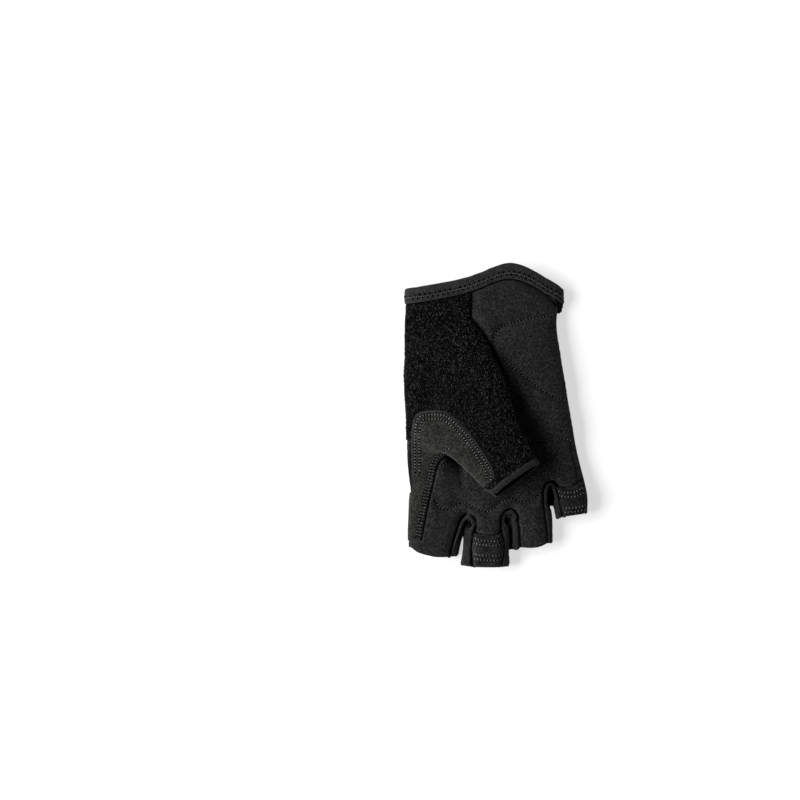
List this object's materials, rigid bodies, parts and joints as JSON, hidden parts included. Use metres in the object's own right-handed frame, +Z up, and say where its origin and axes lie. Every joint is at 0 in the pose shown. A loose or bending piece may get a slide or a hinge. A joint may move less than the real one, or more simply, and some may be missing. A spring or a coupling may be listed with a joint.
{
  "type": "cycling glove",
  "caption": "Right-hand half-finger cycling glove lying palm up, with padded suede palm, terry thumb, gusseted fingers, pull tabs and a bound wrist.",
  "frame": {"origin": "centre of the glove's outline at the level of the surface that it lies on", "axes": "+X from the thumb's side to the little finger's side, +Y from the finger tips to the wrist, +Z up out of the palm"},
  "size_m": [0.1006, 0.167, 0.0253],
  "materials": {
    "stretch_fabric": "smooth knitted stretch fabric, charcoal",
    "terry": "looped terry cloth, near black",
    "suede": "synthetic suede, matt, near black",
    "patch_suede": "synthetic suede, matt, dark warm grey",
    "binding_tape": "folded elastic binding tape with zigzag stitching"
  },
  "bodies": {
    "root": {"back_panel": "stretch_fabric", "terry_panel": "terry", "palm_panel": "suede", "thumb_patch": "patch_suede", "fourchette_index_middle": "stretch_fabric", "fourchette_middle_ring": "stretch_fabric", "fourchette_ring_little": "stretch_fabric", "wrist_binding": "binding_tape", "thumb_hem": "patch_suede", "pull_tab_middle": "suede", "pull_tab_little": "suede"}
  },
  "joints": []
}
